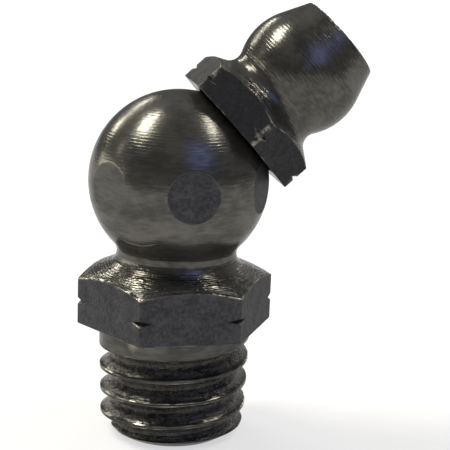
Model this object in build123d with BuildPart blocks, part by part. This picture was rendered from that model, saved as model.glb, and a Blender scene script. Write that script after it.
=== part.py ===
"""Grease nipple with a ball elbow: a body with a tapered M8 thread, and a nipple pressed into its ball.

Both turned pieces keep the hexagon bar that they were turned from: the body's ball has six small round
flats, and each hexagon has a V groove across its corners. The nipple's mouth is closed by a ball on a
spring.

Millimetres, +Z up along the thread's axis. The origin lies in the plane of the body hexagon's underside,
and the nipple leans towards +X, over a corner of that hexagon.
"""

from build123d import *
from math import cos, pi, radians, sin, sqrt, tan
import os

# Body, turned from hexagon bar
body_across_flats = 9.0
body_groove_height = 1.22
body_groove_depth = 0.25
flare_angle = 24.5
neck_diameter = 6.3
neck_arc_radius = 0.75
ball_diameter = 9.4
ball_height = 7.65

# Threaded shank, M8 x 1.25 with the 1:16 taper of a nipple thread
shank_diameter = 8.0
shank_length = 6.0
collar_height = 0.9
shank_taper = 1 / 16
end_face_diameter = 5.8
end_chamfer_length = 0.62
thread_pitch = 1.25
thread_depth = 0.613 * thread_pitch
crest_width = thread_pitch / 8
flank_angle = 30.0
last_full_groove = 1.14
runout_turns = 0.25
runout_rise = 1.2 * thread_depth
cutter_overshoot = 0.06

# Grease passage: up the shank, then into the socket that holds the nipple
grease_bore_diameter = 3.0
drill_point_angle = 59.0
socket_diameter = 4.2
socket_depth = 4.2
lean_angle = 48.0
seat_distance = 3.83

# Straight nipple, turned from smaller hexagon bar. Heights are from the underside of its flange, and its
# nose is a cone whose sides lean in by nose_angle, tangent to the head.
nipple_across_flats = 7.0
nipple_groove_height = 0.7
nipple_groove_depth = 0.22
flange_angle = 32.0
waist_diameter = 5.5
waist_arc_radius = 0.7
head_diameter = 6.5
head_height = 4.59
nose_angle = 22.2
tip_diameter = 4.8
tip_crown = 0.06
spigot_length = 3.2
spigot_gap = 0.01
spigot_chamfer = 0.25

# Valve inside the nipple
valve_bore_diameter = 3.0
mouth_diameter = 1.6
mouth_land = 0.35
seat_angle = 45.0
check_ball_diameter = 2.5
seat_gap = 0.02
lip_diameter = 1.8
lip_height = 0.4
wire_diameter = 0.3
spring_diameter = 2.5
spring_gap = 0.03
spring_turns = 6.0
closed_turns = 0.75
easing_turns = 0.5
closed_pitch = 1.1 * wire_diameter

# The nipple's axis runs from the ball's centre. Distances along it are from that centre.
ball_radius = ball_diameter / 2
lean = radians(lean_angle)
ball_centre = (0, 0, ball_height)
lean_direction = (sin(lean), 0, cos(lean))
across_lean = (cos(lean), 0, -sin(lean))
nipple_plane = Plane(origin=ball_centre, x_dir=across_lean, z_dir=lean_direction)
nipple_section = Plane(origin=ball_centre, x_dir=across_lean, z_dir=(0, -1, 0))
nipple_axis = Axis(ball_centre, lean_direction)


def corner_radius(across_flats):
    """Distance from a hexagon's centre to its corners."""
    return across_flats / 2 / cos(pi / 6)


def waisted_outline(sphere_radius, sphere_height, waist_radius, arc_radius, cone_angle, start_radius):
    """A cone, a hollow curve and a sphere, each tangent to the next, that together form a turned waist.

    Gives the cone's outer edge at start_radius, then the start, middle and end of the hollow, all as
    (radius, height), and last the curve's directions at its start and end.
    """
    cone = radians(cone_angle)
    arc_centre = waist_radius + arc_radius
    drop = sqrt((sphere_radius + arc_radius) ** 2 - arc_centre**2)
    arc_height = sphere_height - drop
    cone_end = (arc_centre - arc_radius * sin(cone), arc_height - arc_radius * cos(cone))
    cone_start = (start_radius, cone_end[1] - (start_radius - cone_end[0]) * tan(cone))
    share = sphere_radius / (sphere_radius + arc_radius)
    arc_end = (arc_centre * share, sphere_height - drop * share)
    directions = ((-cos(cone), sin(cone)), (drop, arc_centre))
    return cone_start, cone_end, (waist_radius, arc_height), arc_end, directions


def hexagon_bar(across_flats, plane, turn, length):
    """Hexagon bar that starts on plane, with a corner at turn degrees from the plane's X."""
    with BuildPart() as bar:
        with BuildSketch(plane):
            RegularPolygon(across_flats / 2, 6, major_radius=False, rotation=turn)
        extrude(amount=length)
    return bar.part


def corner_groove(section, axis, across_flats, height, depth):
    """Ring whose 90 degree V edge cuts a groove into the corners of a hexagon."""
    tip = corner_radius(across_flats) - depth
    reach = 2 * depth
    with BuildPart() as ring:
        with BuildSketch(section):
            with BuildLine():
                Polyline(
                    (tip, height),
                    (tip + reach, height + reach),
                    (tip + reach, height - reach),
                    close=True,
                )
            make_face()
        revolve(axis=axis)
    return ring.part


def shank_radius(height):
    """Crest radius of the shank at a height, which is negative below the hexagon."""
    return shank_diameter / 2 - shank_taper / 2 * max(0, -height - collar_height)


def thread_point(turn):
    """Middle of the thread's cutter, turn revolutions after it starts to leave the metal."""
    height = -last_full_groove + thread_pitch * turn
    radius = shank_radius(height)
    if turn > 0:
        radius += runout_rise * turn / runout_turns
    return radius * cos(2 * pi * turn), radius * sin(2 * pi * turn), height


def spring_height(turn, length):
    """Rise of the wire's middle after a number of turns of a spring with closed ends."""
    if turn > spring_turns / 2:
        return length - spring_height(spring_turns - turn, length)
    easing = min(max(turn - closed_turns, 0), easing_turns)
    open_turns = max(turn - closed_turns - easing_turns, 0)
    extra = (length - closed_pitch * spring_turns) / (spring_turns - 2 * closed_turns - easing_turns)
    return closed_pitch * turn + extra * (easing**2 / (2 * easing_turns) + open_turns)


# Body: the turned outline, from the shank's end up to the top of the ball
shank_end = -shank_length
taper_end = shank_end + end_chamfer_length
body_corner = corner_radius(body_across_flats)
flare_start, flare_end, neck, ball_start, neck_directions = waisted_outline(
    ball_radius, ball_height, neck_diameter / 2, neck_arc_radius, flare_angle, body_corner
)
with BuildPart() as elbow_body:
    with BuildSketch(Plane.XZ):
        with BuildLine():
            Polyline(
                (0, ball_height + ball_radius),
                (0, shank_end),
                (end_face_diameter / 2, shank_end),
                (shank_radius(taper_end), taper_end),
                (shank_diameter / 2, -collar_height),
                (shank_diameter / 2, 0),
                (body_corner, 0),
                flare_start,
                flare_end,
            )
            Spline(flare_end, neck, ball_start, tangents=neck_directions)
            ThreePointArc(ball_start, (ball_radius, ball_height), (0, ball_height + ball_radius))
        make_face()
    revolve(axis=Axis.Z)

    # What the bar's flats take away, from the hexagon's faces and from the ball
    bar_length = shank_length + ball_height + ball_radius
    add(hexagon_bar(body_across_flats, Plane.XY.offset(shank_end), 0, bar_length), mode=Mode.INTERSECT)
    add(
        corner_groove(Plane.XZ, Axis.Z, body_across_flats, body_groove_height, body_groove_depth),
        mode=Mode.SUBTRACT,
    )

    # Spot face for the nipple's flange, and the socket below it
    with BuildSketch(nipple_plane.offset(seat_distance)):
        Circle(ball_radius)
    extrude(amount=ball_radius, mode=Mode.SUBTRACT)
    with BuildSketch(nipple_plane.offset(seat_distance)):
        Circle(socket_diameter / 2)
    extrude(amount=-socket_depth, mode=Mode.SUBTRACT)

    # Grease bore, drilled from the shank's end to the socket
    with BuildSketch(Plane.XZ):
        with BuildLine():
            bore = grease_bore_diameter / 2
            Polyline(
                (0, shank_end),
                (bore, shank_end),
                (bore, ball_height),
                (0, ball_height + bore / tan(radians(drill_point_angle))),
                close=True,
            )
        make_face()
    revolve(axis=Axis.Z, mode=Mode.SUBTRACT)

    # Thread: a 60 degree groove along a tapered helix, from below the shank to a fade-out at the collar
    steps_per_turn = 8
    start_turn = -(shank_length - last_full_groove + thread_pitch / 2) / thread_pitch
    first_step = round(start_turn * steps_per_turn)
    last_step = round(runout_turns * steps_per_turn)
    path_points = [thread_point(step / steps_per_turn) for step in range(first_step, last_step + 1)]
    with BuildLine() as thread_path:
        Spline(*path_points)
    half_width = (thread_pitch - crest_width) / 2
    slope = tan(radians(flank_angle))
    inner_half_width = half_width - thread_depth * slope
    outer_half_width = half_width + cutter_overshoot * slope
    path_start = thread_path.line @ 0
    groove_plane = Plane(
        origin=path_start,
        x_dir=(path_start.X, path_start.Y, 0),
        z_dir=-(thread_path.line % 0),
    )
    with BuildSketch(groove_plane):
        with BuildLine():
            Polyline(
                (cutter_overshoot, outer_half_width),
                (-thread_depth, inner_half_width),
                (-thread_depth, -inner_half_width),
                (cutter_overshoot, -outer_half_width),
                close=True,
            )
        make_face()
    sweep(path=thread_path.line, is_frenet=True, mode=Mode.SUBTRACT)

# Straight nipple: flange, waist, coupling head and spigot, with the bore for the valve
flange_face = seat_distance
nipple_corner = corner_radius(nipple_across_flats)
head_centre = flange_face + head_height
head_radius = head_diameter / 2
spigot_end = flange_face - spigot_length
spigot_radius = socket_diameter / 2 - spigot_gap
flange_edge, cone_end, waist, head_start, waist_directions = waisted_outline(
    head_radius, head_centre, waist_diameter / 2, waist_arc_radius, flange_angle, nipple_corner
)
nose = radians(nose_angle)
nose_start = (head_radius * cos(nose), head_centre + head_radius * sin(nose))
tip_face = head_centre + (head_radius - tip_diameter / 2 * cos(nose)) / sin(nose)
seat_depth = (valve_bore_diameter - mouth_diameter) / 2 / tan(radians(seat_angle))
lip_top = spigot_end + lip_height
with BuildPart() as nipple_head:
    with BuildSketch(nipple_section):
        with BuildLine():
            Polyline(
                (mouth_diameter / 2, tip_face + tip_crown),
                (mouth_diameter / 2, tip_face + tip_crown - mouth_land),
                (valve_bore_diameter / 2, tip_face + tip_crown - mouth_land - seat_depth),
                (valve_bore_diameter / 2, lip_top),
                (lip_diameter / 2, lip_top),
                (lip_diameter / 2, spigot_end),
                (spigot_radius - spigot_chamfer, spigot_end),
                (spigot_radius, spigot_end + spigot_chamfer),
                (spigot_radius, flange_face),
                (nipple_corner, flange_face),
                flange_edge,
                cone_end,
            )
            Spline(cone_end, waist, head_start, tangents=waist_directions)
            ThreePointArc(head_start, (head_radius, head_centre), nose_start)
            Polyline(nose_start, (tip_diameter / 2, tip_face), (mouth_diameter / 2, tip_face + tip_crown))
        make_face()
    revolve(axis=nipple_axis)
    bar_start = nipple_plane.offset(spigot_end)
    bar_length = tip_face + tip_crown - spigot_end
    add(hexagon_bar(nipple_across_flats, bar_start, 30, bar_length), mode=Mode.INTERSECT)
    groove_height = flange_face + nipple_groove_height
    add(
        corner_groove(
            nipple_section, nipple_axis, nipple_across_flats, groove_height, nipple_groove_depth
        ),
        mode=Mode.SUBTRACT,
    )

# Check ball, held just off its conical seat behind the mouth
check_radius = check_ball_diameter / 2
seat_apex = tip_face + tip_crown - mouth_land + mouth_diameter / 2 / tan(radians(seat_angle))
check_centre = seat_apex - (check_radius + seat_gap) / sin(radians(seat_angle))
with BuildPart() as check_ball:
    with BuildSketch(nipple_section):
        with BuildLine():
            CenterArc((0, check_centre), check_radius, -90, 180)
            Line((0, check_centre - check_radius), (0, check_centre + check_radius))
        make_face()
    revolve(axis=nipple_axis)

# Spring, between the lip and the ball, wound with closed ends
coil_radius = (spring_diameter - wire_diameter) / 2
wire_radius = wire_diameter / 2
ball_reach = sqrt((check_radius + wire_radius + spring_gap) ** 2 - coil_radius**2)
spring_start = lip_top + spring_gap + wire_radius
spring_length = check_centre - ball_reach - spring_start
with BuildPart() as spring:
    steps_per_coil = 12
    coil_points = []
    for step in range(round(spring_turns * steps_per_coil) + 1):
        turn = step / steps_per_coil
        coil_points.append(
            (
                coil_radius * cos(2 * pi * turn),
                coil_radius * sin(2 * pi * turn),
                spring_height(turn, spring_length),
            )
        )
    with BuildLine(nipple_plane.offset(spring_start)) as coil_path:
        Spline(*coil_points)
    with BuildSketch(Plane(origin=coil_path.line @ 0, z_dir=coil_path.line % 0)):
        RegularPolygon(wire_radius, 6)
    sweep(path=coil_path.line, is_frenet=True)

os.makedirs("parts", exist_ok=True)
elbow_body.part.label = "elbow_body"
nipple_head.part.label = "nipple_head"
check_ball.part.label = "check_ball"
spring.part.label = "spring"
export_step(elbow_body.part, "parts/elbow_body.step")
export_step(nipple_head.part, "parts/nipple_head.step")
export_step(check_ball.part, "parts/check_ball.step")
export_step(spring.part, "parts/spring.step")
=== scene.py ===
"""Looks of a grease nipple with a ball elbow: turned dark steel, a cut thread and a sprung check ball.

Everything is measured in the part's own frame, in metres: +Z up along the thread's axis, with the nipple
leaning towards +X.
"""

import math
from collections import namedtuple

import bmesh
import bpy
import numpy as np
from bpy.props import FloatProperty, FloatVectorProperty, IntProperty, PointerProperty
from mathutils import Matrix, Vector


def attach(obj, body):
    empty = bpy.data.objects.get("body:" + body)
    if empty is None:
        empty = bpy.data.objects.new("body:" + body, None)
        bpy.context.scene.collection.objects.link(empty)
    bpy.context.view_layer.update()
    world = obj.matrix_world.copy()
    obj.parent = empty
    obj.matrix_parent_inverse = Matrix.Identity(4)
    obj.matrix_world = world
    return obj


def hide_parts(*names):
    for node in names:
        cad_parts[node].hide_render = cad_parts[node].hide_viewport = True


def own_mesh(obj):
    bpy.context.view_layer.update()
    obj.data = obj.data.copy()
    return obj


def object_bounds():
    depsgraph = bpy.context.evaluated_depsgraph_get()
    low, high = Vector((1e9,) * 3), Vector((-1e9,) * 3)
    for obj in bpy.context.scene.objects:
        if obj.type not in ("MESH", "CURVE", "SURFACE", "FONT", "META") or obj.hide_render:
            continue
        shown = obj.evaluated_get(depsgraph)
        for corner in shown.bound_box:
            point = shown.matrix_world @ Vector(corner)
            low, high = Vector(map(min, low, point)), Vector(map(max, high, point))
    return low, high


bl_info = {
    "name": "Ball-elbow grease nipple",
    "version": (1, 0, 0),
    "blender": (4, 5, 0),
    "location": "3D View > Sidebar > Grease nipple",
    "description": "Builds the finished surfaces and the stage of a ball-elbow grease nipple",
    "category": "Object",
}

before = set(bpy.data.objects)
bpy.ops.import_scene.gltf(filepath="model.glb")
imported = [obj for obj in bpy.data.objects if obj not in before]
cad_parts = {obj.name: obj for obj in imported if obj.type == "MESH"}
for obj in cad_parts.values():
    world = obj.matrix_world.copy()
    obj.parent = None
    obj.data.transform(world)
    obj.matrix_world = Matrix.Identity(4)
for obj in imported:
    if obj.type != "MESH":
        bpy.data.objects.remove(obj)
cad_low, cad_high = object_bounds()

MM = 0.001


# Sizes and finish ------------------------------------------------------------------------------------------


def length(name, description, millimetres):
    """A length property, given in millimetres and kept in metres."""
    return FloatProperty(
        name=name, description=description, default=millimetres * MM, min=0.0, precision=6, unit="LENGTH"
    )


def number(name, description, default):
    """A plain number."""
    return FloatProperty(name=name, description=description, default=default)


def slant(name, description, degrees):
    """An angle property, given in degrees and kept in radians."""
    return FloatProperty(name=name, description=description, default=math.radians(degrees), subtype="ANGLE")


def colour(name, description, value):
    """A colour property, in linear light."""
    return FloatVectorProperty(
        name=name, description=description, default=value, size=3, min=0.0, max=1.0, subtype="COLOR"
    )


class ElbowBodySizes(bpy.types.PropertyGroup):
    across_flats: length("Across flats", "Width of the hexagon bar that the body is turned from", 9.0)
    groove_height: length("Groove height", "Middle of the V groove above the hexagon's underside", 1.22)
    groove_depth: length("Groove depth", "How far the V groove cuts into the corners", 0.3)
    flare_angle: slant("Flare angle", "Slope of the cone above the hexagon", 24.5)
    neck_diameter: length("Neck diameter", "Narrowest width below the ball", 6.3)
    neck_arc_radius: length("Neck arc radius", "Hollow between the flare and the ball", 0.75)
    ball_diameter: length("Ball diameter", "Width of the turned ball", 9.4)
    ball_height: length("Ball height", "Ball's centre above the hexagon's underside", 7.65)
    lean_angle: slant("Lean angle", "Nipple's lean from the thread's axis", 48.0)
    seat_distance: length("Seat distance", "Nipple's spot face from the ball's centre", 3.83)
    socket_diameter: length("Socket diameter", "Hole that the nipple is pressed into", 4.2)
    socket_depth: length("Socket depth", "Depth of that hole below the spot face", 4.2)
    bore_diameter: length("Bore diameter", "Grease bore up the shank", 3.0)
    drill_point_angle: slant("Drill point angle", "Half angle of the bore's blind end", 59.0)
    edge_rounding: length("Edge rounding", "Softness of the hexagon's edges", 0.05)
    flat_rounding: length("Flat rounding", "Softness of the edges of the ball's flats", 0.012)


class ThreadSizes(bpy.types.PropertyGroup):
    diameter: length("Diameter", "Outside width of the shank at its collar", 8.0)
    shank_length: length("Length", "Shank below the hexagon", 6.0)
    collar_height: length("Collar height", "Plain collar under the hexagon", 0.9)
    taper: number("Taper", "Loss of diameter along the shank", 1 / 16)
    pitch: length("Pitch", "Rise of the thread in one turn", 1.25)
    depth: length("Depth", "Depth of the groove below the crests", 0.613 * 1.25)
    crest_width: length("Crest width", "Flat left on each crest", 1.25 / 8)
    flank_angle: slant("Flank angle", "Slope of each flank from square", 30.0)
    last_full_groove: length("Last full groove", "Where the groove starts to fade, below the hexagon", 1.14)
    runout_turns: number("Run-out", "Turns over which the groove fades", 0.25)
    runout_rise: length("Run-out rise", "How far the cutter rises over the run-out", 1.2 * 0.613 * 1.25)
    end_face_diameter: length("End face diameter", "Flat ring around the bore at the shank's end", 5.8)
    end_chamfer_length: length("End chamfer length", "Height of the lead-in chamfer", 0.62)
    crest_rounding: length("Crest rounding", "Softness of the crests' edges", 0.025)
    root_rounding: length("Root rounding", "Softness of the groove's floor", 0.12)


class NippleHeadSizes(bpy.types.PropertyGroup):
    across_flats: length("Across flats", "Width of the hexagon bar that the nipple is turned from", 7.0)
    groove_height: length("Groove height", "Middle of the V groove above the flange's underside", 0.7)
    groove_depth: length("Groove depth", "How far the V groove cuts into the corners", 0.25)
    flange_angle: slant("Flange angle", "Slope of the cone above the flange", 32.0)
    waist_diameter: length("Waist diameter", "Narrowest width, which the coupler's jaws close on", 5.5)
    waist_arc_radius: length("Waist arc radius", "Hollow between the flange and the head", 0.7)
    head_diameter: length("Head diameter", "Width of the coupling head", 6.5)
    head_height: length("Head height", "Head's centre above the flange's underside", 4.59)
    nose_angle: slant("Nose angle", "How far the nose's sides lean in", 22.2)
    tip_diameter: length("Tip diameter", "Width of the tip's face", 4.8)
    tip_crown: length("Tip crown", "Rise of the tip's face towards the mouth", 0.06)
    spigot_length: length("Spigot length", "Part inside the body's socket", 3.2)
    spigot_gap: length("Spigot gap", "Clearance around the spigot", 0.01)
    spigot_chamfer: length("Spigot chamfer", "Lead-in at the spigot's end", 0.25)
    valve_bore_diameter: length("Valve bore diameter", "Bore that holds the ball and spring", 3.0)
    mouth_diameter: length("Mouth diameter", "Hole in the tip", 1.6)
    mouth_land: length("Mouth land", "Straight wall behind the mouth", 0.35)
    seat_angle: slant("Seat angle", "Slope of the ball's seat", 45.0)
    lip_diameter: length("Lip diameter", "Hole in the spigot's end", 1.8)
    lip_height: length("Lip height", "Thickness of the lip that holds the spring", 0.4)
    edge_rounding: length("Edge rounding", "Softness of the flange's edges", 0.045)
    dent_depth: length("Dent depth", "Depth of the knocks in the tip's rim", 0.08)


class ValveSizes(bpy.types.PropertyGroup):
    ball_diameter: length("Ball diameter", "Check ball", 2.5)
    seat_gap: length("Seat gap", "Clearance between the ball and its seat", 0.02)
    wire_diameter: length("Wire diameter", "Spring's wire", 0.3)
    spring_diameter: length("Spring diameter", "Spring's outside width", 2.5)
    spring_gap: length("Spring gap", "Clearance at each end of the spring", 0.03)
    turns: number("Turns", "Coils, with the closed ends", 6.0)
    closed_turns: number("Closed turns", "Closed coils at each end", 0.75)
    easing_turns: number("Easing turns", "Coils over which they part", 0.5)
    travel: length("Travel", "How far the ball opens", 1.0)


class SteelFinish(bpy.types.PropertyGroup):
    turned_dark: colour("Turned, dark", "Darker tone of the oiled, turned steel", (0.058, 0.056, 0.051))
    turned_light: colour("Turned, light", "Lighter tone of the oiled, turned steel", (0.115, 0.111, 0.098))
    skin_dark: colour("Bar skin, dark", "Darker tone of the hexagon bar's flats", (0.038, 0.0375, 0.042))
    skin_light: colour("Bar skin, light", "Lighter tone of the hexagon bar's flats", (0.072, 0.071, 0.076))
    # The worn colour is also used for the scratch on the ball, which there is a painted highlight
    worn: colour("Worn edge", "Rubbed edges and burrs", (0.60, 0.56, 0.48))
    ball: colour("Check ball", "Polished ball", (0.55, 0.55, 0.56))
    wire: colour("Spring wire", "Drawn wire", (0.33, 0.33, 0.34))
    floor: colour("Floor", "Pale floor", (0.88, 0.88, 0.88))
    around: colour("Surroundings", "Light from all round", (0.18, 0.18, 0.18))
    mark_density: number("Turning marks", "Marks in each millimetre", 6.0)
    mark_depth: length("Mark depth", "Depth of the finest turning marks", 0.0025)
    cone_mark_depth: length("Cone mark depth", "Depth of the coarser marks on the cones", 0.040)
    # Painted shade: the nipple's turned faces and flats are darker copies of the body's steel, standing in
    # for less light on them
    nipple_shade_on_turned: number("Nipple's turned tone", "Tone of the nipple's turned faces against the body's", 0.92)
    nipple_shade_on_skin: number("Nipple's bar skin", "Tone of the nipple's flats against the body's", 0.54)
    thread_tone: number("Thread tone", "Tone of the thread's crests against the collar", 0.55)
    grime: colour("Grime", "Dull film in the thread's grooves", (0.092, 0.087, 0.082))
    grime_depth: length("Grime depth", "Roughness of that film", 0.055)
    skin_depth: length("Skin depth", "Roughness of the hexagon bar's flats", 0.006)
    columns: IntProperty(name="Columns", description="Mesh columns around each turned piece", default=360)


# Turned forms ----------------------------------------------------------------------------------------------


# How coarse the turning marks are where nothing says otherwise
PLAIN_MARKS = 0.12
SIXTH, HALF_SIXTH = math.pi / 3, math.pi / 6
Waist = namedtuple("Waist", "cone_start cone_end centre first last low")


def corner_radius(across_flats):
    """Distance from a hexagon bar's axis to its corners."""
    return across_flats / 2 / math.cos(HALF_SIXTH)


def waisted_outline(sphere_radius, sphere_height, waist_radius, arc_radius, cone_angle, start_radius):
    """A cone, a hollow arc and a sphere, each tangent to the next.

    Points are (radius, height). first and last are the arc's end angles about its centre, and low is the
    angle on the sphere where the arc meets it.
    """
    arc_centre = waist_radius + arc_radius
    drop = math.sqrt((sphere_radius + arc_radius) ** 2 - arc_centre**2)
    centre = (arc_centre, sphere_height - drop)
    cone_end = (arc_centre - arc_radius * math.sin(cone_angle), centre[1] - arc_radius * math.cos(cone_angle))
    cone_start = (start_radius, cone_end[1] - (start_radius - cone_end[0]) * math.tan(cone_angle))
    first = 1.5 * math.pi - cone_angle
    last = math.atan2(drop, -arc_centre)
    return Waist(cone_start, cone_end, centre, first, last, last - math.pi)


def soft_min(a, b, rounding):
    """The smaller of two radii, rounded over where they meet."""
    blend = np.maximum(rounding - np.abs(a - b), 0.0) / rounding
    return np.minimum(a, b) - blend * blend * rounding / 4


def hexagon_limit(angles, across_flats, first_corner, rounding):
    """Distance from a hexagon bar's axis to its surface at each angle."""
    turn = np.mod(angles - first_corner, SIXTH) - HALF_SIXTH
    near = across_flats / 2 / np.cos(turn)
    far = across_flats / 2 / np.cos(SIXTH - np.abs(turn))
    return soft_min(near, far, rounding)


def column_angles(count, first_corner):
    """Angles of the mesh columns, closer together at a hexagon's corners. The last one closes the turn."""
    even = np.arange(count) * 360.0 / count
    corners = math.degrees(first_corner) + np.arange(6) * 60.0
    close = [corner + step for corner in corners for step in (-0.6, -0.3, 0.3, 0.6)]
    degrees = np.unique(np.round(np.mod(np.concatenate([even, corners, close]), 360.0), 6))
    return np.radians(np.append(degrees, 360.0))


def ring(radius, height, along=None, skin=0.0, edge=0.0, coarse=PLAIN_MARKS):
    """One row of a turned piece. Each value is a number, or has one number for each column."""
    return radius, height, height if along is None else along, skin, edge, coarse


def turned_mesh(name, rows, angles, closed=False):
    """Mesh of a turned piece, with each point's place along its outline, in millimetres, kept as a UV map."""
    count, total = len(angles), len(rows)
    wide = [[np.broadcast_to(np.asarray(value, float), count) for value in row] for row in rows]
    radii, heights, along, skin, edge, coarse = (np.stack([row[k] for row in wide]) for k in range(6))
    points = np.stack([radii * np.cos(angles), radii * np.sin(angles), heights], axis=-1).reshape(-1, 3)
    i, j = np.meshgrid(np.arange(total if closed else total - 1), np.arange(count - 1), indexing="ij")
    here, above = i * count + j, (i + 1) % total * count + j
    quads = np.stack([here, here + 1, above + 1, above], axis=-1).reshape(-1, 4)
    mesh = bpy.data.meshes.new(name)
    mesh.from_pydata(points.tolist(), [], quads.tolist())
    for label, values in (("bar_skin", skin), ("edge", edge), ("coarse", coarse)):
        layer = mesh.attributes.new(label, "FLOAT", "POINT")
        layer.data.foreach_set("value", values.astype(np.float32).ravel())
    turns = np.broadcast_to(angles / (2 * math.pi), radii.shape).ravel()
    spread = np.stack([turns, along.ravel() / MM], axis=-1)[quads.ravel()]
    mesh.uv_layers.new(name="lathe").uv.foreach_set("vector", spread.astype(np.float32).ravel())
    tidy = bmesh.new()
    tidy.from_mesh(mesh)
    bmesh.ops.remove_doubles(tidy, verts=tidy.verts, dist=0.0005 * MM)
    bmesh.ops.dissolve_degenerate(tidy, edges=tidy.edges, dist=0.0004 * MM)
    tidy.to_mesh(mesh)
    tidy.free()
    return mesh


GROOVE_STEEPNESS = 1.6
# Wear at the hexagon's top edge, by height above the edge in millimetres
TOP_EDGE_WEAR = {
    -0.12: 0.0, -0.07: 0.1, -0.035: 0.5, -0.012: 1.0, 0.006: 1.0, 0.02: 0.8, 0.04: 0.3, 0.08: 0.0,
}


def flange_rows(size, limit, base, waist, cone_angle, inner, corner_wear):
    """A hexagon from its underside's inner radius, up its faces and V groove, and then its cone.

    base is the underside's height.
    """
    groove, rounding = base + size.groove_height, size.edge_rounding
    corner = waist.cone_start[0]
    flat = corner * math.cos(HALF_SIXTH)
    # 0 on a flat and 1 at a corner, and the wear along the corners' upright edges
    near_corner = (limit - flat) / (corner - flat)
    at_corner = np.clip((limit - corner + 0.11 * MM) / (0.05 * MM), 0.0, 1.0) * corner_wear
    rows = []
    for share in (0.3, 0.65, 0.92):
        radius = inner + share * (limit - rounding - inner)
        rows.append(ring(radius, base, base + radius - corner))
    for turn, wear in ((0.0, 0.3), (0.5, 0.8), (1.0, 0.6)):
        radius = limit - rounding * (1 - math.sin(turn))
        rows.append(ring(radius, base + rounding * (1 - math.cos(turn)), base + radius - corner, turn, wear))
    rows.append(ring(limit, base + rounding, base + rounding, 1.0, 0.2))

    meet = waist.cone_start[1] + (corner - limit) * math.tan(cone_angle)
    floor_radius = corner - size.groove_depth
    bite = np.maximum(limit - floor_radius, 0.0)
    half = np.maximum(bite / GROOVE_STEEPNESS, 0.06 * MM)
    low, high = base + rounding + 0.02 * MM, meet - 0.12 * MM
    # Rows below, in and above the groove, closer together at its lips and floor
    steps = (1.3, 1.15, 1.0, 0.9, 0.6, 0.25, 0.08)
    heights = [low + share * (groove - 1.3 * half - low) for share in (0.0, 0.35, 0.7)]
    heights += [groove - step * half for step in steps] + [groove]
    heights += [groove + step * half for step in reversed(steps)]
    heights += [groove + 1.3 * half + share * (high - groove - 1.3 * half) for share in (0.35, 0.7)]
    for height in heights:
        cut = floor_radius + GROOVE_STEEPNESS * np.abs(height - groove)
        radius = soft_min(limit, cut, 0.02 * MM)
        lip = np.clip(1 - np.abs(limit - cut) / (0.05 * MM), 0, 1) * np.clip(bite / (0.05 * MM), 0, 1)
        lip = np.where(height < groove, 0.6 * lip, 0.1 * lip)
        flats = np.where(radius < limit - 0.01 * MM, 0.7, 1.0)
        rows.append(ring(radius, height, skin=flats, edge=np.maximum(lip, at_corner)))

    def cone_at(height):
        """The cone's radius at a height."""
        return corner - (height - waist.cone_start[1]) / math.tan(cone_angle)

    for step, worn in TOP_EDGE_WEAR.items():
        height = meet + step * MM
        worn = worn * (0.2 + 0.8 * near_corner**2)
        skin, coarse = (1.0, PLAIN_MARKS) if step < 0 else (0.0, 1.0)
        radius = soft_min(limit, cone_at(height), 0.6 * rounding)
        rows.append(ring(radius, height, None, skin, worn, coarse))
    start = meet + max(TOP_EDGE_WEAR) * MM
    for share in (0.2, 0.35, 0.5, 0.65, 0.8, 0.92, 1.0):
        height = start + share * (waist.cone_end[1] - start)
        cone = cone_at(height)
        along = waist.cone_start[1] + (corner - cone) / math.cos(cone_angle)
        rows.append(ring(cone, height, along, coarse=1.0))
    return rows


def hollow_rows(waist, arc_radius, cone_angle, count):
    """The hollow above a cone, and where along the outline it ends."""
    start = waist.cone_start[1] + (waist.cone_start[0] - waist.cone_end[0]) / math.cos(cone_angle)
    rows = []
    for share in np.linspace(0.08, 0.95, count):
        angle = waist.first + share * (waist.last - waist.first)
        radius = waist.centre[0] + arc_radius * math.cos(angle)
        height = waist.centre[1] + arc_radius * math.sin(angle)
        coarse = PLAIN_MARKS + (1.0 - PLAIN_MARKS) * (1.0 - share) ** 4
        rows.append(ring(radius, height, start + arc_radius * (waist.first - angle), coarse=coarse))
    return rows, start + arc_radius * (waist.first - waist.last)


# The thread's rows end at SHANK_TOP. From MARKS_START down, the turning marks begin to climb with the thread,
# and MARKS_EASE lower they fully do.
SHANK_TOP, MARKS_START, MARKS_EASE = -0.25 * MM, -0.7 * MM, 0.4 * MM


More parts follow.
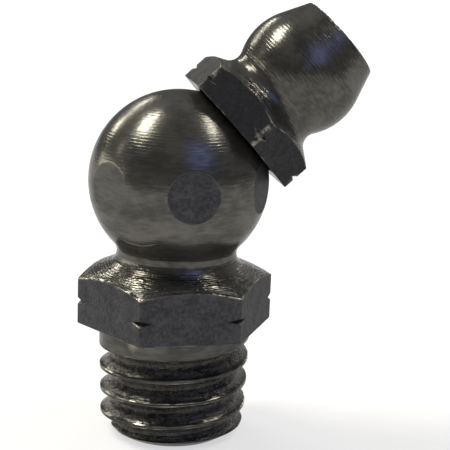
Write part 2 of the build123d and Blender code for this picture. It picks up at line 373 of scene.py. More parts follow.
def shank_rows(angles, thread):
    """The shank's end face, its chamfer and its side, with rows that climb as the thread does."""
    crest, end = thread.diameter / 2, -thread.shank_length
    end_radius = thread.end_face_diameter / 2
    turns = angles / (2 * math.pi)
    rows = []
    for share in (0.0, 0.5, 0.7, 0.85, 0.95):
        rows.append(ring(share * end_radius, end, end + (share - 1) * end_radius - thread.pitch * turns))
    chamfer_end = end + thread.end_chamfer_length
    chamfer_radius = crest + thread.taper / 2 * (chamfer_end + thread.collar_height)
    slope = (chamfer_radius - end_radius) / thread.end_chamfer_length
    lip = 0.5 - thread.crest_width / thread.pitch / 2
    lower = (-0.5, -lip - 0.03, -lip, 0.03 - lip, -0.38, -0.28, -0.18, -0.1, -0.07, -0.03)
    steps = (*lower, 0.0, *(-step for step in reversed(lower[1:])))
    first = math.floor((end + thread.last_full_groove) / thread.pitch) - 2
    last = math.ceil((SHANK_TOP + thread.last_full_groove) / thread.pitch) + 1
    for turn in range(first, last + 1):
        cut = np.clip(1 - (turn + turns) / thread.runout_turns, 0.0, 1.0)
        for step in steps:
            height = thread.pitch * (turn + step + turns) - thread.last_full_groove
            height = np.clip(height, end, SHANK_TOP)
            crests = crest - thread.taper / 2 * np.maximum(-height - thread.collar_height, 0.0)
            radius = soft_min(crests, end_radius + (height - end) * slope, 0.05 * MM)
            radius = np.where(height <= end, end_radius, radius)
            threaded = np.clip((MARKS_START - height) / MARKS_EASE, 0.0, 1.0)
            at_lip = 0.85 if abs(abs(step) - lip) < 0.001 else 0.0
            worn = np.where(height < chamfer_end, 0.0, at_lip * cut)
            along = height - thread.pitch * turns * threaded
            rows.append(ring(radius, height, along, 0.0, worn, PLAIN_MARKS + 0.5 * cut))
    fillet = ((0.0, -0.08), (0.01, -0.03), (0.04, 0.0))
    return rows + [ring(crest + out * MM, height * MM) for out, height in fillet]


# Painted light: the flat at this angle around the ball keeps only a little of its bar skin, within this reach
# to each side, so that it looks lighter
PAINTED_LIGHT_FLAT, PAINTED_LIGHT_REACH, PAINTED_LIGHT_SKIN = 210.0, 30.0, 0.3


def ball_rows(angles, size, limit, low, start):
    """The ball from the angle low upwards, with rows gathered along the edges of its six flats."""
    whole = size.ball_diameter / 2
    half = np.sqrt(np.maximum(whole**2 - limit**2, 0.0))
    edge = np.maximum(np.arcsin(half / whole), math.radians(2.5))
    near = math.radians(1.6)
    turns = [low + share * (-edge - near - low) for share in np.linspace(0.0, 1.0, 10)]
    turns += [-edge + math.radians(step) for step in (-0.8, -0.3, 0.1, 0.6)]
    turns += [share * (edge - math.radians(0.9)) for share in np.linspace(-0.8, 0.8, 6)]
    turns += [edge + math.radians(step) for step in (-0.6, -0.1, 0.3, 0.8)]
    turns += [edge + near + share * (math.pi / 2 - edge - near) for share in np.linspace(0.0, 1.0, 22)]
    # Painted light on that flat: less bar skin makes it look lighter
    painted_light = np.where(np.abs(np.degrees(angles) - PAINTED_LIGHT_FLAT) < PAINTED_LIGHT_REACH, PAINTED_LIGHT_SKIN, 1.0)
    rows = []
    for turn in turns:
        round_radius = np.maximum(whole * np.cos(turn) * np.ones_like(angles), 0.0)
        radius = soft_min(round_radius, limit, size.flat_rounding)
        flat = np.clip((round_radius - limit) / (0.01 * MM), 0.0, 1.0) * painted_light
        height = size.ball_height + whole * np.sin(turn)
        coarse = PLAIN_MARKS * np.clip((np.degrees(turn) - 12.0) / 18.0, 0.0, 1.0)
        rows.append(ring(radius, height, start + whole * (turn - low), flat, coarse=coarse))
    rows[-1] = ring(0.0, size.ball_height + whole, start + whole * (math.pi / 2 - low))
    return rows


# Knocks in the tip's rim, as the degree around it, the width in degrees and the share of the full depth
DENTS = (
    (187.0, 1.5, 0.4), (201.0, 1.2, 0.6), (207.0, 2.5, 1.0), (214.0, 1.5, 0.5), (221.0, 1.0, 0.7),
    (230.0, 1.3, 0.4), (237.0, 3.0, 0.9), (246.0, 1.2, 0.5), (262.0, 2.0, 0.35), (48.0, 3.0, 0.6),
)


def tip_distance(body, size):
    """The edge of the nipple's tip, from the ball's centre along the nipple's axis."""
    whole, tip_radius = size.head_diameter / 2, size.tip_diameter / 2
    centre = body.seat_distance + size.head_height
    return centre + (whole - tip_radius * math.cos(size.nose_angle)) / math.sin(size.nose_angle)


def head_rows(angles, body, size):
    """The nipple's whole outline, up the outside and back down its bore."""
    limit = hexagon_limit(angles, size.across_flats, math.radians(30.0), size.edge_rounding)
    flange = body.seat_distance
    whole, centre = size.head_diameter / 2, flange + size.head_height
    spigot = body.socket_diameter / 2 - size.spigot_gap
    spigot_end = flange - size.spigot_length
    lip, bore = size.lip_diameter / 2, size.valve_bore_diameter / 2
    rows = [
        ring(lip, spigot_end),
        ring(spigot - size.spigot_chamfer, spigot_end),
        ring(spigot, spigot_end + size.spigot_chamfer),
        ring(spigot, flange),
    ]
    waist_radius, corner = size.waist_diameter / 2, corner_radius(size.across_flats)
    waist = waisted_outline(whole, centre, waist_radius, size.waist_arc_radius, size.flange_angle, corner)
    rows += flange_rows(size, limit, flange, waist, size.flange_angle, spigot, 0.6)
    hollow, start = hollow_rows(waist, size.waist_arc_radius, size.flange_angle, 12)
    rows += hollow
    for turn in np.linspace(waist.low, size.nose_angle, 28):
        along = start + whole * (turn - waist.low)
        rows.append(ring(whole * math.cos(turn), centre + whole * math.sin(turn), along))
    start += whole * (size.nose_angle - waist.low)
    tip_radius = size.tip_diameter / 2
    nose = Vector((whole * math.cos(size.nose_angle), centre + whole * math.sin(size.nose_angle)))
    tip = tip_distance(body, size)
    rim = Vector((tip_radius, tip))
    side = (rim - nose).length
    for share in (0.2, 0.4, 0.6, 0.78, 0.9, 0.96):
        point = nose.lerp(rim, share)
        rows.append(ring(point.x, point.y, start + share * side))
    start += side

    turn = np.degrees(angles)
    knocks = sum(depth * np.exp(-(((turn - at) / width) ** 2)) for at, width, depth in DENTS)
    dents = knocks * size.dent_depth
    # The rounded rim: how far in and down each row lies, in roundings, its share of the knocks, and its wear
    soft = 0.05 * MM
    rim_rows = ((-0.35, 0.8, 0.8, 0.3), (0.0, 0.25, 1.0, 0.8), (0.5, 0.0, 1.0, 0.8), (1.4, -0.1, 0.5, 0.2))
    for inward, down, share, worn in rim_rows:
        radius = tip_radius - inward * soft - 0.7 * share * dents
        rows.append(ring(radius, tip - down * soft - share * dents, start + (1 + inward) * soft, 0.0, worn))
    mouth, crown = size.mouth_diameter / 2, tip + size.tip_crown
    for share in (0.2, 0.4, 0.6, 0.8, 0.94):
        radius = tip_radius + share * (mouth - tip_radius)
        rows.append(ring(radius, tip + share * size.tip_crown, start + tip_radius - radius))
    seat = crown - size.mouth_land - (bore - mouth) / math.tan(size.seat_angle)
    rest, bevel = spigot_end + size.lip_height, 0.03 * MM
    bore_wall = (
        (mouth + bevel, crown), (mouth, crown - bevel), (mouth, crown - size.mouth_land),
        (bore, seat), (bore, rest), (lip, rest),
    )
    start += tip_radius - mouth + crown
    return rows + [ring(out, height, start - height) for out, height in bore_wall]


def lean_way(body):
    """The direction of the nipple's axis."""
    return Vector((math.sin(body.lean_angle), 0.0, math.cos(body.lean_angle)))


def place_on_lean(body, distance):
    """Matrix from the nipple's own frame to the part's, distance out along the nipple's axis."""
    place = Vector((0.0, 0.0, body.ball_height)) + distance * lean_way(body)
    return Matrix.Translation(place) @ Matrix.Rotation(body.lean_angle, 4, "Y")


def show(name, data):
    """A new object at the origin, for a mesh, a lamp or a camera."""
    piece = bpy.data.objects.new(name, data)
    bpy.context.scene.collection.objects.link(piece)
    return piece


def shape_mesh(name, shape, **sizes):
    """A mesh of one of bmesh's own shapes."""
    mesh, made = bpy.data.meshes.new(name), bmesh.new()
    shape(made, **sizes)
    made.to_mesh(mesh)
    made.free()
    return mesh


def settle(piece, name):
    """Swaps a piece for a plain mesh of how it looks with its modifiers."""
    graph = bpy.context.evaluated_depsgraph_get()
    mesh = bpy.data.meshes.new_from_object(piece.evaluated_get(graph))
    if not mesh.polygons:
        raise RuntimeError(f"{piece.name} came out empty")
    mesh.name = name
    bpy.data.objects.remove(piece)
    return show(name, mesh)


SHARP_ANGLE = math.radians(50.0)


def hand_over(piece, material, node, body):
    """Gives a finished piece its material and shading, and puts it in the place of its CAD node."""
    mesh = piece.data
    mesh.materials.clear()
    mesh.materials.append(material)
    mesh.polygons.foreach_set("use_smooth", [True] * len(mesh.polygons))
    mesh.polygons.foreach_set("material_index", [0] * len(mesh.polygons))
    mesh.set_sharp_from_angle(angle=SHARP_ANGLE)
    mesh.update()
    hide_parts(node)
    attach(piece, body)


# Node trees ------------------------------------------------------------------------------------------------


class Value:
    """What a socket of a node tree gives. Reckoning with it adds Math nodes to the tree."""

    def __init__(self, tree, socket):
        self.tree, self.socket = tree, socket

    def math(self, operation, *others):
        """A Math node with this value first."""
        return add(self.tree, "ShaderNodeMath", dict(enumerate((self, *others))), operation=operation)

    def parts(self):
        """The three parts of a vector."""
        return list(add_whole(self.tree, "ShaderNodeSeparateXYZ", {0: self}).values())

    def __add__(self, other):
        return self.math("ADD", other)

    def __sub__(self, other):
        return self.math("SUBTRACT", other)

    def __mul__(self, other):
        return self.math("MULTIPLY", other)

    def __truediv__(self, other):
        return self.math("DIVIDE", other)


def feed(tree, node, inputs):
    """Links or sets a node's inputs, by their names or numbers. Colours are given without alpha."""
    for label, value in inputs.items():
        socket = node.inputs[label]
        if isinstance(value, Value):
            tree.links.new(value.socket, socket)
        else:
            socket.default_value = (*value, 1.0) if socket.type == "RGBA" else value


def add_whole(tree, kind, inputs, **settings):
    """Adds a node with its settings and inputs. Gives all its outputs by name."""
    node = tree.nodes.new(kind)
    for label, setting in settings.items():
        setattr(node, label, setting)
    feed(tree, node, inputs)
    return {socket.name: Value(tree, socket) for socket in node.outputs if socket.enabled}


def add(tree, kind, inputs, **settings):
    """Adds a node with its settings and inputs. Gives its first output in use."""
    return next(iter(add_whole(tree, kind, inputs, **settings).values()))


def add_group(name, kind, inputs, outputs, lengths=()):
    """An empty node group with sockets of the kinds given for their names. Gives it and its inputs."""
    tree = bpy.data.node_groups.new(name, kind)
    for way, sockets in (("INPUT", inputs), ("OUTPUT", outputs)):
        for label, socket_kind in sockets.items():
            socket = tree.interface.new_socket(name=label, in_out=way, socket_type="NodeSocket" + socket_kind)
            if label in lengths:
                socket.subtype = "DISTANCE"
    return tree, add_whole(tree, "NodeGroupInput", {})


def give(tree, results):
    """Ends a node group with its results."""
    feed(tree, tree.nodes.new("NodeGroupOutput"), results)
    return tree


def geometry_tree(name, lengths, numbers, others=()):
    """An empty geometry node tree with named inputs. Gives the tree and its inputs."""
    floats = dict.fromkeys((*lengths, *numbers), "Float")
    inputs = {"Geometry": "Geometry", **floats, **dict(others), "Material": "Material"}
    return add_group(name, "GeometryNodeTree", inputs, {"Geometry": "Geometry"}, lengths)


def close_tree(tree, made, given):
    """Ends a geometry node tree: real geometry with its material."""
    real = add(tree, "GeometryNodeRealizeInstances", {0: made})
    painted = add(tree, "GeometryNodeSetMaterial", {"Geometry": real, "Material": given["Material"]})
    return give(tree, {"Geometry": painted})


def add_tree(piece, tree, values):
    """Puts a node tree on a piece and sets its inputs."""
    modifier = piece.modifiers.new(tree.name, "NODES")
    modifier.node_group = tree
    for item in tree.interface.items_tree:
        if item.in_out == "INPUT" and item.name in values:
            modifier[item.identifier] = values[item.name]


# The thread tree's inputs that a size of the same name gives
THREAD_LENGTHS = (
    "Collar height", "Pitch", "Depth", "Crest width", "Last full groove", "Runout rise", "Crest rounding",
    "Root rounding",
)
THREAD_NUMBERS = ("Taper", "Runout turns")


def thread_tree():
    """Geometry nodes that cut a tapered thread into a turned shank whose axis is Z."""
    tree, given = geometry_tree(
        "Cut taper thread", ("Crest radius", *THREAD_LENGTHS), ("Flank slope", *THREAD_NUMBERS)
    )
    x, y, z = add(tree, "GeometryNodeInputPosition", {}).parts()
    radius = (x * x + y * y).math("SQRT")
    turn = y.math("ARCTAN2", x) / (2 * math.pi)

    # How far this point is from the middle of the nearest groove, and how far that groove is into its run-out
    ahead = (z + given["Last full groove"]) / given["Pitch"] - turn
    whole = ahead.math("ROUND")
    offset = (ahead - whole).math("ABSOLUTE") * given["Pitch"]
    rise = (whole + turn).math("MAXIMUM", 0.0) / given["Runout turns"] * given["Runout rise"]

    # The groove's floor and flanks below the tapered crests
    depth_below = z * -1.0 - given["Collar height"]
    crest = given["Crest radius"] - depth_below.math("MAXIMUM", 0.0) * (given["Taper"] * 0.5)
    flank = ((given["Pitch"] - given["Crest width"]) * 0.5 - offset) / given["Flank slope"]
    cut = flank.math("SMOOTH_MIN", given["Depth"], given["Root rounding"])
    cut_radius = radius.math("SMOOTH_MIN", crest - cut + rise, given["Crest rounding"])
    share = cut_radius / radius.math("MAXIMUM", 1e-6)
    # The hexagon's underside and the middle of the end face stay as they are
    chosen = z.math("LESS_THAN", -0.03 * MM) * radius.math("GREATER_THAN", 0.2 * MM)

    # How deep each point will lie in the groove and whether it is on the thread at all, kept for the finish.
    # They are stored before the points move, because a field reads the places that points have by then.
    deep = (radius - cut_radius) / given["Depth"]
    on_thread = (depth_below + -0.05 * MM) / (0.15 * MM)
    blank = given["Geometry"]
    for label, value in (("groove", deep), ("thread", on_thread)):
        inputs = {"Geometry": blank, "Name": label, "Value": value * chosen}
        blank = add(tree, "GeometryNodeStoreNamedAttribute", inputs, data_type="FLOAT", domain="POINT")
    place = add(tree, "ShaderNodeCombineXYZ", {0: x * share, 1: y * share, 2: z})
    inputs = {"Geometry": blank, "Selection": chosen, "Position": place}
    return close_tree(tree, add(tree, "GeometryNodeSetPosition", inputs), given)


WIRE_SIDES, SPRING_STEPS = 14, 40
# Rise of a closed coil, in wire diameters
CLOSED_PITCH = 1.1


def spring_tree():
    """Geometry nodes that wind a spring with closed ends up a leaning axis."""
    tree, given = geometry_tree(
        "Wind valve spring",
        ("Coil radius", "Wire radius", "Length", "Closed pitch"),
        ("Turns", "Closed turns", "Easing turns", "Lean"),
        {"Points per turn": "Int", "Place": "Vector"},
    )
    turns, closed, easing = (given[label] for label in ("Turns", "Closed turns", "Easing turns"))
    line = add(tree, "GeometryNodeMeshLine", {"Count": turns * given["Points per turn"] + 1.0})
    path = add(tree, "GeometryNodeMeshToCurve", {"Mesh": line})
    turn = add(tree, "GeometryNodeInputIndex", {}) / given["Points per turn"]

    # Rise of the wire, counted from the nearer end: touching coils, then coils that part, then open ones
    from_end = turn.math("MINIMUM", turns - turn)
    past = (from_end - closed).math("MAXIMUM", 0.0)
    parting = past.math("MINIMUM", easing)
    parted = parting * parting / (easing * 2.0)
    open_turns = turns - (closed * 2.0 + easing)
    extra = (given["Length"] - given["Closed pitch"] * turns) / open_turns
    near_rise = given["Closed pitch"] * from_end + extra * (parted + (past - parting))
    upper = turn.math("GREATER_THAN", turns * 0.5)
    height = near_rise + upper * (given["Length"] - near_rise * 2.0)

    angle = turn * (2 * math.pi)
    x, y = (angle.math(part) * given["Coil radius"] for part in ("COSINE", "SINE"))
    spot = add(tree, "ShaderNodeCombineXYZ", {0: x, 1: y, 2: height})
    coil = add(tree, "GeometryNodeSetPosition", {"Geometry": path, "Position": spot})
    circle = {"Resolution": WIRE_SIDES, "Radius": given["Wire radius"]}
    section = add(tree, "GeometryNodeCurvePrimitiveCircle", circle)
    wire = {"Curve": coil, "Profile Curve": section, "Fill Caps": True}
    spring = add(tree, "GeometryNodeCurveToMesh", wire)
    lean = add(tree, "ShaderNodeCombineXYZ", {1: given["Lean"]})
    seat = {"Geometry": spring, "Translation": given["Place"], "Rotation": lean}
    return close_tree(tree, add(tree, "GeometryNodeTransform", seat), given)


def noise(vector, scale, detail=2.0, roughness=0.5):
    """A Noise Texture's value, which stays near a half."""
    inputs = {"Vector": vector, "Scale": scale, "Detail": detail, "Roughness": roughness}
    return add(vector.tree, "ShaderNodeTexNoise", inputs)


def ramp(value, low, high, floor=0.0, ceiling=1.0):
    """Eased from floor to ceiling while the value goes from low to high, and level outside them."""
    inputs = {"Value": value, "From Min": low, "From Max": high, "To Min": floor, "To Max": ceiling}
    return add(value.tree, "ShaderNodeMapRange", inputs, clamp=True, interpolation_type="SMOOTHSTEP")


def blend(first, second, share):
    """Two values added in shares that make one."""
    return first.math("MULTIPLY_ADD", 1 - share, second * share)


def mix(factor, first, second):
    """Two numbers mixed by a value."""
    return add(factor.tree, "ShaderNodeMix", {0: factor, 2: first, 3: second})


def mix_colour(factor, first, second):
    """Two colours mixed by a value."""
    return add(factor.tree, "ShaderNodeMix", {0: factor, 6: first, 7: second}, data_type="RGBA")


def shade_group(name, inputs, outputs):
    """An empty shader node group. Gives the group and its inputs."""
    return add_group(name, "ShaderNodeTree", inputs, dict.fromkeys(outputs, "Float"))


def turning_group(name):
    """Rings that a lathe tool leaves: long streaks around the axis, uneven along it."""
    inputs = {"Place": "Vector", "Along": "Float", "Density": "Float", "Streak": "Float"}
    tree, given = shade_group(name, inputs, ("Height", "Tone"))
    along, density = given["Along"], given["Density"]
    x, y, _ = given["Place"].parts()
    scale = given["Streak"] / (x * x + y * y).math("SQRT").math("MAXIMUM", 0.01 * MM)
    around = add(tree, "ShaderNodeCombineXYZ", {0: x * scale, 1: y * scale, 2: along * density})
    fine, broad = noise(around, 1.0, 3.0, 0.6), noise(around, 0.25)

    # Each turn of the tool leaves a ridge that climbs slowly and falls fast, and wanders a little
    climb = along.math("MULTIPLY_ADD", density, broad * 0.9).math("FRACT")
    fall = climb.math("MULTIPLY_ADD", -3.0, 3.0)
    ridge = climb.math("MINIMUM", fall) * ramp(fine, 0.35, 0.62, 0.5, 1.6)
    return give(tree, {"Height": blend(fine, ridge, 0.65), "Tone": blend(fine, broad, 0.5)})


def bar_group(name):
    """Fine, mottled skin of drawn bar."""
    tree, given = shade_group(name, {"Place": "Vector"}, ("Height", "Tone"))
    grain = noise(given["Place"], 7000.0, 2.0, 0.6)
    cloud = noise(given["Place"], 1400.0, 3.0, 0.6)
    return give(tree, {"Height": grain, "Tone": blend(grain, cloud, 0.4)})


def wear_group(name):
    """Bright metal on edges, in broken runs."""
    tree, given = shade_group(name, {"Place": "Vector", "Edge": "Float"}, ("Mask",))
    broken = ramp(noise(given["Place"], 1500.0, 3.0, 0.6), 0.42, 0.6)
    patches = ramp(noise(given["Place"], 380.0, 1.0), 0.42, 0.62, 0.25, 1.0)
    return give(tree, {"Mask": broken * patches * given["Edge"]})


def use_group(tree, name, make, inputs):
    """Places a shader group, built on its first use, with its inputs. Gives its outputs by name."""
    group = bpy.data.node_groups.get(name) or make(name)
    return add_whole(tree, "ShaderNodeGroup", inputs, node_tree=group)


def attribute(tree, name):
    """A piece's own attribute, as a number."""
    return add_whole(tree, "ShaderNodeAttribute", {}, attribute_name=name)["Fac"]


# A turned line across the lower left of the ball, painted bright only along the stretch where it catches the
# light, so partly a real mark and partly a painted highlight: its ends and its lowest point, and how bright
# it is
SCRATCH_GLINT = (Vector((-3.36, -2.08, 5.10)), Vector((-1.61, -3.65, 5.16)), Vector((-2.45, -2.91, 4.89)))
SCRATCH_GLINT_SHARE = 0.35


def scratch_glint_mask(local):
    """A thin curved line, where a plane through the line's three points meets the ball: a mark painted bright
    as a highlight.
    """
    one, other, lowest = (point * MM for point in SCRATCH_GLINT)
    across = (other - one).cross(lowest - one).normalized()
    way, middle, reach = (other - one).normalized(), (one + other) / 2, (other - one).length / 2
    mask = local.parts()[2].math("LESS_THAN", one.z + 1.0 * MM)
    for direction, near, far in ((across, 0.015 * MM, 0.045 * MM), (way, 0.6 * reach, 1.05 * reach)):
        inputs = {0: local, 1: direction}
        along = add_whole(local.tree, "ShaderNodeVectorMath", inputs, operation="DOT_PRODUCT")["Value"]
        mask = mask * ramp((along - middle.dot(direction)).math("ABSOLUTE"), near, far, 1.0, 0.0)
    return mask


def new_material(name, inputs):
    """A material whose Principled shader has these inputs. Gives it with its tree and the shader."""
    material = bpy.data.materials.new(name)
    material.use_nodes = True
    tree = material.node_tree
    shader = tree.nodes["Principled BSDF"]
    feed(tree, shader, inputs)
    return material, tree, shader


CLEAN_METAL, GRIMY_METAL = 0.73, 0.3
GRIME_ROUGHNESS = 0.08
OILY = {"Metallic": CLEAN_METAL, "Specular IOR Level": 0.3, "Specular Tint": (0.6, 0.6, 0.6)}
STREAK_SCALE, CLOUD_SCALE = 8.0, 330.0


def turned_steel(name, finish, place, lean, is_body):
    """Dark oiled steel with turning marks, and bar skin where the piece keeps its hexagon's flats."""
    material, tree, shader = new_material(name, OILY)
    spot = add_whole(tree, "ShaderNodeTexCoord", {})["Object"]
    axis = {"Vector": spot, "Location": place, "Rotation": (0.0, lean, 0.0)}
    local = add(tree, "ShaderNodeMapping", axis, vector_type="TEXTURE")
    along = add(tree, "ShaderNodeUVMap", {}, uv_map="lathe").parts()[1]
    skin, edge, coarse = (attribute(tree, label) for label in ("bar_skin", "edge", "coarse"))
    values = {"Place": local, "Along": along, "Density": finish.mark_density, "Streak": STREAK_SCALE}
    marks = use_group(tree, "Turning marks", turning_group, values)
    bar = use_group(tree, "Bar skin", bar_group, {"Place": local})
    wear = use_group(tree, "Edge wear", wear_group, {"Place": local, "Edge": edge})["Mask"]
    # Painted shade on the nipple: its steel is darkened against the body's
    turned_painted_shade, skin_painted_shade = (1.0, 1.0) if is_body else (finish.nipple_shade_on_turned, finish.nipple_shade_on_skin)

    tone = blend(marks["Tone"], noise(local, CLOUD_SCALE, 3.0, 0.6), 0.4)
    ends = (Vector(tint) * turned_painted_shade for tint in (finish.turned_dark, finish.turned_light))
    turned = mix_colour(ramp(tone, 0.38, 0.62), *ends)
    rough = coarse.math("MULTIPLY_ADD", -0.06, ramp(tone, 0.35, 0.65, 0.28, 0.18))
    depth = coarse.math("MULTIPLY_ADD", finish.cone_mark_depth - finish.mark_depth, finish.mark_depth)
    relief = marks["Height"] * depth
    if is_body:
        kept = ramp(attribute(tree, "thread"), 0.0, 1.0, 1.0, finish.thread_tone)
        patches = ramp(blend(marks["Tone"], bar["Tone"], 0.5), 0.42, 0.54, 0.25, 1.0)
        grime = ramp(attribute(tree, "groove"), 0.1, 0.5) * patches
        turned = mix_colour(grime, mix_colour(kept, (0.0, 0.0, 0.0), turned), finish.grime)
        metal = grime.math("MULTIPLY_ADD", GRIMY_METAL - CLEAN_METAL, CLEAN_METAL)
        feed(tree, shader, {"Metallic": metal})
        rough = grime.math("MULTIPLY_ADD", GRIME_ROUGHNESS, rough)
        relief = bar["Height"].math("MULTIPLY_ADD", grime * finish.grime_depth, relief)
        # Painted highlight: the scratch on the ball takes the bright worn colour
        wear = wear.math("MAXIMUM", scratch_glint_mask(local) * SCRATCH_GLINT_SHARE)
    ends = (Vector(tint) * skin_painted_shade for tint in (finish.skin_dark, finish.skin_light))
    flat = mix_colour(ramp(bar["Tone"], 0.3, 0.7), *ends)
    height = mix(skin, relief, bar["Height"] * finish.skin_depth)
    surface = {
        "Base Color": mix_colour(wear, mix_colour(skin, turned, flat), finish.worn),
        "Roughness": mix(skin, rough, ramp(bar["Tone"], 0.35, 0.65, 0.6, 0.5)),
        "Normal": add(tree, "ShaderNodeBump", {"Strength": 1.0, "Distance": 1.0, "Height": height}),
    }
    feed(tree, shader, surface)
    return material


def plain_steel(name, tint, roughness):
    """Clean bright steel."""
    return new_material(name, {"Base Color": tint, "Metallic": 1.0, "Roughness": roughness})[0]


# Pieces ----------------------------------------------------------------------------------------------------


def flatten_seat(mesh, size):
    """Presses what stands past the nipple's spot face down onto it."""
    out = lean_way(size)
    centre = Vector((0.0, 0.0, size.ball_height))
    for vertex in mesh.vertices:
        past = (vertex.co - centre).dot(out) - size.seat_distance
        if past > 0:
            vertex.co = vertex.co - past * out


DRILL_SIDES = 72


def drill(name, diameter, start, end, point, matrix):
    """A round cutter from start to end along Z, with a cone of height point on its end."""
    radius = diameter / 2
    corners = ((0.0, start), (radius, start), (radius, end), (0.0, end + point))
    rows = [ring(out, height, 0.0) for out, height in corners]
    mesh = turned_mesh(name, rows, np.linspace(0.0, 2 * math.pi, DRILL_SIDES + 1))
    mesh.transform(matrix)
    return show(name, mesh)


class NIPPLE_OT_elbow_body(bpy.types.Operator):
    """Builds the threaded, hexagonal body and its ball"""

    bl_idname = "nipple.elbow_body"
    bl_label = "Elbow body"

    def execute(self, context):
        scene = context.scene
        size, thread, finish = scene.elbow_body_sizes, scene.thread_sizes, scene.steel_finish
        angles = column_angles(finish.columns, 0.0)
        limit = hexagon_limit(angles, size.across_flats, 0.0, size.edge_rounding)
        ball, neck, slope = size.ball_diameter / 2, size.neck_diameter / 2, size.flare_angle
        corner = corner_radius(size.across_flats)
        waist = waisted_outline(ball, size.ball_height, neck, size.neck_arc_radius, slope, corner)
        hollow, start = hollow_rows(waist, size.neck_arc_radius, slope, 11)
        rows = shank_rows(angles, thread)
        rows += flange_rows(size, limit, 0.0, waist, slope, thread.diameter / 2, 0.03)
        rows += hollow + ball_rows(angles, size, limit, waist.low, start)
        mesh = turned_mesh("shank_blank", rows, angles)
        flatten_seat(mesh, size)
        steel = turned_steel("Body steel", finish, (0.0, 0.0, 0.0), 0.0, True)
        values = {
            "Crest radius": thread.diameter / 2,
            "Flank slope": math.tan(thread.flank_angle),
            "Material": steel,
        }
        for label in THREAD_LENGTHS + THREAD_NUMBERS:
            values[label] = getattr(thread, label.lower().replace(" ", "_"))
        blank = show("shank_blank", mesh)
        add_tree(blank, thread_tree(), values)
        threaded = settle(blank, "threaded_body")
        point = size.bore_diameter / 2 / math.tan(size.drill_point_angle)
        below, deep = -2 * thread.shank_length, size.socket_depth
        lean = place_on_lean(size, size.seat_distance)
        drills = [
            drill("bore_drill", size.bore_diameter, below, size.ball_height, point, Matrix()),
            drill("socket_drill", size.socket_diameter, -deep, deep, 0.0, lean),
        ]
        for tool in drills:
            cut = threaded.modifiers.new("Drill", "BOOLEAN")
            cut.operation = "DIFFERENCE"
            cut.solver = "EXACT"
            cut.object = tool
        body = settle(threaded, "elbow_body_surface")
        for tool in drills:
            bpy.data.objects.remove(tool)
        hand_over(body, steel, "elbow_body", "nipple")
        return {"FINISHED"}


class NIPPLE_OT_nipple_head(bpy.types.Operator):
    """Builds the straight nipple that is pressed into the ball"""

    bl_idname = "nipple.nipple_head"
    bl_label = "Nipple head"

    def execute(self, context):
        scene = context.scene
        body, size, finish = scene.elbow_body_sizes, scene.nipple_head_sizes, scene.steel_finish
        angles = column_angles(finish.columns, math.radians(30.0))
        mesh = turned_mesh("nipple_head_surface", head_rows(angles, body, size), angles, closed=True)
        mesh.transform(place_on_lean(body, 0.0))
        steel = turned_steel("Nipple steel", finish, (0.0, 0.0, body.ball_height), body.lean_angle, False)
        hand_over(show("nipple_head_surface", mesh), steel, "nipple_head", "nipple")
        return {"FINISHED"}


class NIPPLE_OT_valve(bpy.types.Operator):
    """Builds the check ball and the spring behind it"""

    bl_idname = "nipple.valve"
    bl_label = "Check valve"

    def execute(self, context):
        scene = context.scene
        body, head, valve = scene.elbow_body_sizes, scene.nipple_head_sizes, scene.valve_sizes
        finish = scene.steel_finish
        crown = tip_distance(body, head) + head.tip_crown
        apex = crown - head.mouth_land + head.mouth_diameter / 2 / math.tan(head.seat_angle)
        ball_radius = valve.ball_diameter / 2
        ball_place = apex - (ball_radius + valve.seat_gap) / math.sin(head.seat_angle)

        sphere = bmesh.ops.create_icosphere
        mesh = shape_mesh("check_ball_surface", sphere, subdivisions=5, radius=ball_radius)
        mesh.transform(place_on_lean(body, ball_place))
        steel = plain_steel("Ball steel", finish.ball, roughness=0.12)
        hand_over(show("check_ball_surface", mesh), steel, "check_ball", "valve")

        coil, wire = (valve.spring_diameter - valve.wire_diameter) / 2, valve.wire_diameter / 2
        reach = math.sqrt((ball_radius + wire + valve.spring_gap) ** 2 - coil**2)
        start = body.seat_distance - head.spigot_length + head.lip_height + valve.spring_gap + wire
        rise = ball_place - reach - start
        place = place_on_lean(body, start)
        steel = plain_steel("Spring steel", finish.wire, roughness=0.3)
        values = {
            "Coil radius": coil,
            "Wire radius": wire,
            "Length": rise,
            "Closed pitch": CLOSED_PITCH * valve.wire_diameter,
            "Turns": valve.turns,
            "Closed turns": valve.closed_turns,
            "Easing turns": valve.easing_turns,
            "Lean": body.lean_angle,
            "Points per turn": SPRING_STEPS,
            "Place": tuple(place.translation),
            "Material": steel,
        }
        path = show("spring_path", bpy.data.meshes.new("spring_path"))
        add_tree(path, spring_tree(), values)
        spring = settle(path, "spring_surface")
        hand_over(spring, steel, "spring", "nipple")
        keep = (rise - valve.travel) / rise
        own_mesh(spring)
        return {"FINISHED"}


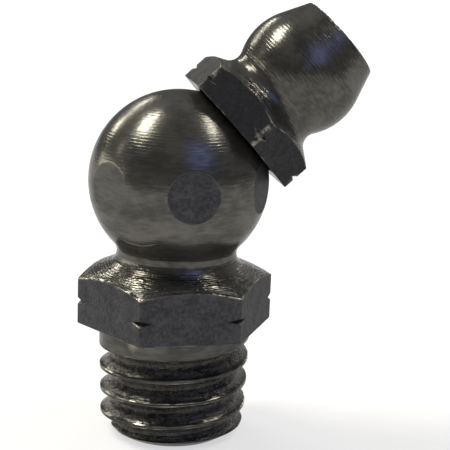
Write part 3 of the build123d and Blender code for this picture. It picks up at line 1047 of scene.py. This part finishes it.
# Each soft lamp reaches between two directions from the object: name, ends, width, radiance and colour
Lamp = namedtuple("Lamp", "name low high width radiance colour")
WARM = (1.0, 0.96, 0.84)
WHITE = (1.0, 1.0, 1.0)
BLUE = (0.24, 0.36, 1.0)
LAMPS = (
    Lamp("Left", (-0.66, 0.035, 0.75), (-0.32, 0.345, 0.88), 0.27, 27.0, WARM),
    Lamp("Right", (0.56, -0.26, 0.79), (0.42, 0.17, 0.89), 0.15, 17.0, WARM),
    Lamp("Window", (0.31, -0.86, 0.40), (0.29, -0.62, 0.72), 0.42, 1.1, BLUE),
    Lamp("Window glow", (0.32, -0.89, 0.33), (0.27, -0.40, 0.88), 0.85, 0.5, BLUE),
    Lamp("Low left", (-0.91, 0.23, 0.34), (-0.795, 0.272, 0.542), 0.12, 2.5, WARM),
    Lamp("Back", (-0.38, 0.77, 0.51), (-0.10, 0.865, 0.49), 0.12, 18.0, WARM),
    Lamp("Back left", (-0.58, 0.73, 0.34), (-0.42, 0.78, 0.46), 0.13, 22.0, WARM),
    Lamp("Right back", (0.42, 0.86, 0.28), (0.47, 0.73, 0.49), 0.06, 14.0, WARM),
    Lamp("Left wall", (-0.93, 0.36, 0.02), (-0.92, 0.355, 0.16), 1.1, 4.9, (1.0, 0.94, 0.80)),
    Lamp("Right wall", (0.80, 0.60, 0.03), (0.69, 0.52, 0.50), 1.1, 0.55, WHITE),
    Lamp("Top", (0.0, 0.95, 0.5), (0.0, 0.0, 1.0), 1.4, 0.22, WHITE),
)
LAMP_DISTANCE = 1.2
CAMERA_PLACE = (-12.6305, -70.2537, 22.3994)
CAMERA_TURN = (76.51495, -2.07634, -11.69269)
CAMERA_LENS = 111.979
FLOOR_REACH = 3.0
FLOOR_WHITENESS = 0.6


class NIPPLE_OT_stage(bpy.types.Operator):
    """Builds the floor, the lamps, the surroundings and the camera"""

    bl_idname = "nipple.stage"
    bl_label = "Stage"

    def execute(self, context):
        scene = context.scene
        finish, thread = scene.steel_finish, scene.thread_sizes
        self.floor(thread, finish)
        middle = (Vector(cad_low) + Vector(cad_high)) / 2
        for lamp in LAMPS:
            self.light(lamp, middle)
        world = bpy.data.worlds.new("Surroundings")
        world.use_nodes = True
        world.node_tree.nodes["Background"].inputs["Color"].default_value = (*finish.around, 1.0)
        scene.world = world
        data = bpy.data.cameras.new("Camera")
        data.lens = CAMERA_LENS
        data.sensor_width = 36.0
        data.clip_start, data.clip_end = 0.005, 20.0
        camera = show("Camera", data)
        camera.location = Vector(CAMERA_PLACE) * MM
        camera.rotation_euler = [math.radians(turn) for turn in CAMERA_TURN]
        scene.camera = camera
        scene.view_settings.view_transform = "Standard"
        return {"FINISHED"}

    def light(self, lamp, middle):
        """An area light whose long side runs from lamp.low to lamp.high, seen from the object."""
        low, high = Vector(lamp.low).normalized(), Vector(lamp.high).normalized()
        way = (low + high).normalized()
        side = (high - low).cross(way).normalized()
        data = bpy.data.lights.new(lamp.name, "AREA")
        data.shape = "RECTANGLE"
        data.size, data.size_y = lamp.width, (high - low).length * LAMP_DISTANCE
        data.energy = lamp.radiance * math.pi * data.size * data.size_y
        data.color = lamp.colour
        turn = Matrix((side, way.cross(side), way)).transposed().to_4x4()
        show(lamp.name, data).matrix_world = Matrix.Translation(middle + way * LAMP_DISTANCE) @ turn

    def floor(self, thread, finish):
        """A wide pale floor under the shank's end."""
        mesh = shape_mesh("floor", bmesh.ops.create_grid, x_segments=1, y_segments=1, size=FLOOR_REACH)
        mesh.transform(Matrix.Translation((0.0, 0.0, -thread.shank_length)))
        mesh.materials.append(self.pale_floor(finish))
        show("floor", mesh)

    def pale_floor(self, finish):
        """A matt floor that looks nearly white to the camera and in the metal, and keeps a soft shadow."""
        material, tree, matt = new_material("Pale floor", {"Base Color": finish.floor, "Roughness": 0.9})
        rays = add_whole(tree, "ShaderNodeLightPath", {})
        seen = rays["Is Camera Ray"].math("MAXIMUM", rays["Is Glossy Ray"])
        seen = seen.math("MAXIMUM", rays["Is Transmission Ray"])
        white = add(tree, "ShaderNodeEmission", {})
        shares = {0: seen * FLOOR_WHITENESS, 1: Value(tree, matt.outputs[0]), 2: white}
        both = add(tree, "ShaderNodeMixShader", shares)
        feed(tree, tree.nodes["Material Output"], {"Surface": both})
        return material


class NIPPLE_PT_panel(bpy.types.Panel):
    """Lists the pieces and their sizes"""

    bl_idname = "NIPPLE_PT_panel"
    bl_label = "Grease nipple"
    bl_space_type = "VIEW_3D"
    bl_region_type = "UI"
    bl_category = "Grease nipple"

    def draw(self, context):
        layout = self.layout
        for operator in OPERATORS:
            layout.operator(operator.bl_idname)
        for label, group in SIZE_GROUPS.items():
            box = layout.box()
            for name in group.__annotations__:
                box.prop(getattr(context.scene, label), name)


SIZE_GROUPS = {
    "elbow_body_sizes": ElbowBodySizes,
    "thread_sizes": ThreadSizes,
    "nipple_head_sizes": NippleHeadSizes,
    "valve_sizes": ValveSizes,
    "steel_finish": SteelFinish,
}
OPERATORS = (NIPPLE_OT_elbow_body, NIPPLE_OT_nipple_head, NIPPLE_OT_valve, NIPPLE_OT_stage)
CLASSES = (*SIZE_GROUPS.values(), *OPERATORS, NIPPLE_PT_panel)


def register():
    """Adds the classes, and the sizes and finish on each scene."""
    for made in CLASSES:
        bpy.utils.register_class(made)
    for label, group in SIZE_GROUPS.items():
        setattr(bpy.types.Scene, label, PointerProperty(type=group))


def unregister():
    """Takes away what register added."""
    for label in SIZE_GROUPS:
        delattr(bpy.types.Scene, label)
    for made in reversed(CLASSES):
        bpy.utils.unregister_class(made)


def main():
    """Builds every piece and the stage."""
    register()
    bpy.ops.nipple.elbow_body()
    bpy.ops.nipple.nipple_head()
    bpy.ops.nipple.valve()
    bpy.ops.nipple.stage()


if __name__ == "__main__":
    main()
